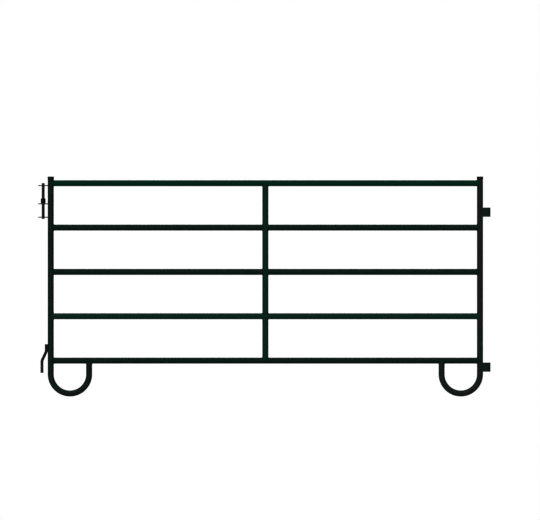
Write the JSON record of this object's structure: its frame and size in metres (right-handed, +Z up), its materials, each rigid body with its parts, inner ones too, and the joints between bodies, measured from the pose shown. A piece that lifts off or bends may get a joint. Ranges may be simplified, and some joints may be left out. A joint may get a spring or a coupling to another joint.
{
  "type": "livestock panel",
  "caption": "Portable yard panel of round steel rails with bent J legs, strap sockets at one end, and a hook and sliding drop pin at the other.",
  "frame": {"origin": "on the ground, midway between the two posts, on the panel's middle plane", "axes": "+X along the rails, from the pin end to the socket end; the front faces -Y; +Z up"},
  "size_m": [3.1338, 0.044, 1.524],
  "materials": {
    "frame_paint": "dark green powder coat, satin",
    "bracket_paint": "dark green powder coat over welded strap, satin",
    "black_paint": "black paint, rubbed where it slides",
    "cap_plastic": "moulded black plastic",
    "spring_steel": "dark spring steel"
  },
  "bodies": {
    "panel_frame": {"left_post": "frame_paint", "right_post": "frame_paint", "top_rail": "frame_paint", "upper_rail": "frame_paint", "middle_rail": "frame_paint", "lower_rail": "frame_paint", "bottom_rail": "frame_paint", "stay_tube_1": "frame_paint", "stay_tube_2": "frame_paint", "stay_tube_3": "frame_paint", "stay_tube_4": "frame_paint", "left_post_cap": "cap_plastic", "right_post_cap": "cap_plastic", "top_guide_tab": "bracket_paint", "middle_guide_tab": "bracket_paint", "bottom_guide_tab": "bracket_paint", "upper_socket": "bracket_paint", "lower_socket": "bracket_paint", "hook_rod": "black_paint"},
    "sliding_pin": {"drop_pin": "black_paint", "pin_collar": "black_paint", "collar_roll_pin": "spring_steel"}
  },
  "joints": [
    {"name": "drop_pin_lift", "type": "slide", "parent": "panel_frame", "child": "sliding_pin", "axis": [0, 0, 1], "range_m": [0, 0.08485]}
  ]
}
